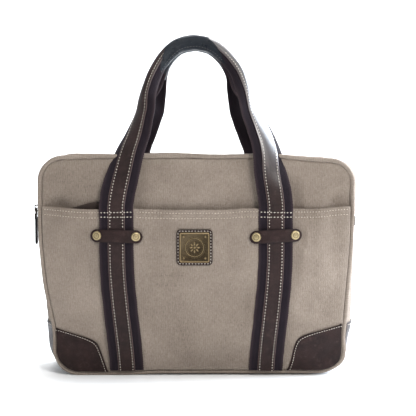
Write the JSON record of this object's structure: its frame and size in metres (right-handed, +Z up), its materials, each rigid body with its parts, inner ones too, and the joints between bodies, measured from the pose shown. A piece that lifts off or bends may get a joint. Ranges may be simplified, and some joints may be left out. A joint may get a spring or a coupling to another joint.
{
  "type": "doctor bag",
  "caption": "Soft canvas zip-top doctor bag or work briefcase with a front slip pocket, leather-faced webbing handles, riveted keepers and leather corners",
  "frame": {"origin": "bottom centre of the whole bag, on the surface it stands on", "axes": "+Z up, +Y towards the back of the bag, +X to the right as seen from the front"},
  "size_m": [0.4238, 0.1378, 0.432],
  "materials": {
    "canvas": "matt woven cotton canvas",
    "webbing": "matt ribbed webbing",
    "brown_leather": "semi-matt grained leather",
    "grip_leather": "polished leather",
    "lining": "plain woven lining",
    "zip_tape": "woven tape with coil teeth",
    "foam": "soft padding",
    "board": "matt stiffener",
    "antique_brass": "aged brass",
    "zip_metal": "dark aged brass"
  },
  "bodies": {
    "bag": {"strap_front_left": "webbing", "strap_trim_front_left": "brown_leather", "corner_patch_front_left": "brown_leather", "keeper_front_left": "brown_leather", "keeper_front_left_rivet_l": "antique_brass", "keeper_front_left_rivet_r": "antique_brass", "strap_front_right": "webbing", "strap_trim_front_right": "brown_leather", "corner_patch_front_right": "brown_leather", "keeper_front_right": "brown_leather", "keeper_front_right_rivet_l": "antique_brass", "keeper_front_right_rivet_r": "antique_brass", "strap_back_left": "webbing", "strap_trim_back_left": "brown_leather", "corner_patch_back_left": "brown_leather", "keeper_back_left": "brown_leather", "keeper_back_left_rivet_l": "antique_brass", "keeper_back_left_rivet_r": "antique_brass", "strap_back_right": "webbing", "strap_trim_back_right": "brown_leather", "corner_patch_back_right": "brown_leather", "keeper_back_right": "brown_leather", "keeper_back_right_rivet_l": "antique_brass", "keeper_back_right_rivet_r": "antique_brass", "front_panel": "canvas", "front_pocket": "canvas", "back_panel": "canvas", "padding_front": "foam", "padding_back": "foam", "lining_front": "lining", "lining_back": "lining", "piping_front": "canvas", "piping_back": "canvas", "gusset": "canvas", "lining_gusset": "lining", "corner_patch_side_left": "brown_leather", "corner_patch_side_right": "brown_leather", "base_board": "board", "laptop_divider": "lining", "zip_strip_front": "canvas", "zip_strip_back": "canvas", "zip_tape_front": "zip_tape", "zip_tape_back": "zip_tape", "zip_end_tab_left": "brown_leather", "zip_end_tab_right": "brown_leather", "badge_leather": "brown_leather", "badge_plate": "antique_brass"},
    "handle_front": {"handle_webbing_front": "webbing", "handle_trim_front_left": "brown_leather", "handle_trim_front_right": "brown_leather", "handle_grip_front": "grip_leather"},
    "handle_back": {"handle_webbing_back": "webbing", "handle_trim_back_left": "brown_leather", "handle_trim_back_right": "brown_leather", "handle_grip_back": "grip_leather"},
    "zip_slider": {"zip_slider": "zip_metal"},
    "zip_pull": {"zip_pull_link": "zip_metal", "zip_pull_leather": "brown_leather"}
  },
  "joints": [
    {"name": "front_handle_fold", "type": "hinge", "parent": "bag", "child": "handle_front", "pos_m": [0, -0.0654, 0.21], "axis": [1, 0, 0], "range_deg": [0, 160]},
    {"name": "back_handle_fold", "type": "hinge", "parent": "bag", "child": "handle_back", "pos_m": [0, 0.0659, 0.21], "axis": [-1, 0, 0], "range_deg": [0, 160]},
    {"name": "zip_travel", "type": "slide", "parent": "bag", "child": "zip_slider", "axis": [0, 0, 1], "range_m": [0, 0.032]},
    {"name": "zip_pull_swing", "type": "hinge", "parent": "zip_slider", "child": "zip_pull", "pos_m": [-0.2122, 0.006, 0.2128], "axis": [0, 1, 0], "range_deg": [0, 150]}
  ]
}
